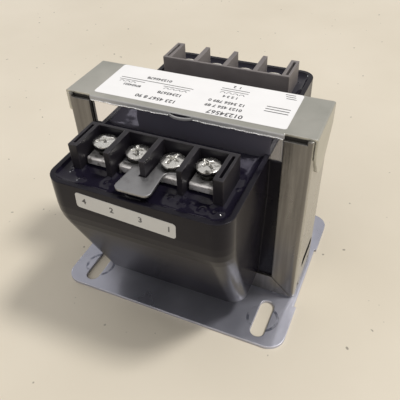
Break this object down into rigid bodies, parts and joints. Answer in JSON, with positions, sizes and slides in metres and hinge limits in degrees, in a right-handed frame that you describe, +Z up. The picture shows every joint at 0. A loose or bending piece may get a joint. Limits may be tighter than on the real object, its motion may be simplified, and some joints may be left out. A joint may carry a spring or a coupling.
{
  "type": "encapsulated control transformer",
  "caption": "Small encapsulated control transformer: laminated core in a steel channel frame on a slotted base plate, black moulded tubs and screw terminals front and rear.",
  "frame": {"origin": "centre of the base plate's underside, on the surface that it stands on", "axes": "+X to the right along the width of the core, +Y to the back, +Z up; the front terminals with the link are on the -Y side"},
  "size_m": [0.081, 0.0841, 0.0662],
  "materials": {
    "plate_steel": "dull zinc plate, blue-grey",
    "frame_steel": "galvanised sheet, satin",
    "strap_steel": "galvanised sheet, satin",
    "core_steel": "smooth varnished lamination edges",
    "winding": "taped winding, out of sight",
    "black_moulding": "black moulding, satin",
    "black_resin": "poured resin, glossy",
    "front_block_moulding": "black moulding, satin",
    "rear_block_moulding": "brown-grey moulding, dull",
    "link_metal": "plated, satin",
    "screw_zinc": "bright zinc plate",
    "clamp_tin": "bright tin plate",
    "white_label": null,
    "strip_label": "off-white strip label, plain numbers only"
  },
  "bodies": {
    "root": {"base_plate": "plate_steel", "channel_frame": "frame_steel", "top_strap": "strap_steel", "core_e_stack": "core_steel", "core_i_stack": "core_steel", "winding_coil": "winding", "front_housing": "black_moulding", "rear_housing": "black_moulding", "front_potting": "black_resin", "rear_potting": "black_resin", "front_terminal_block": "front_block_moulding", "rear_terminal_block": "rear_block_moulding", "jumper_link": "link_metal", "rating_label": "white_label", "terminal_label": "strip_label", "front_screw_1": "screw_zinc", "front_clamp_plate_1": "clamp_tin", "front_screw_2": "screw_zinc", "front_clamp_plate_2": "clamp_tin", "front_screw_3": "screw_zinc", "front_clamp_plate_3": "clamp_tin", "front_screw_4": "screw_zinc", "front_clamp_plate_4": "clamp_tin", "rear_screw_1": "screw_zinc", "rear_clamp_plate_1": "clamp_tin", "rear_screw_2": "screw_zinc", "rear_clamp_plate_2": "clamp_tin", "rear_screw_3": "screw_zinc", "rear_clamp_plate_3": "clamp_tin", "rear_screw_4": "screw_zinc", "rear_clamp_plate_4": "clamp_tin"}
  },
  "joints": []
}
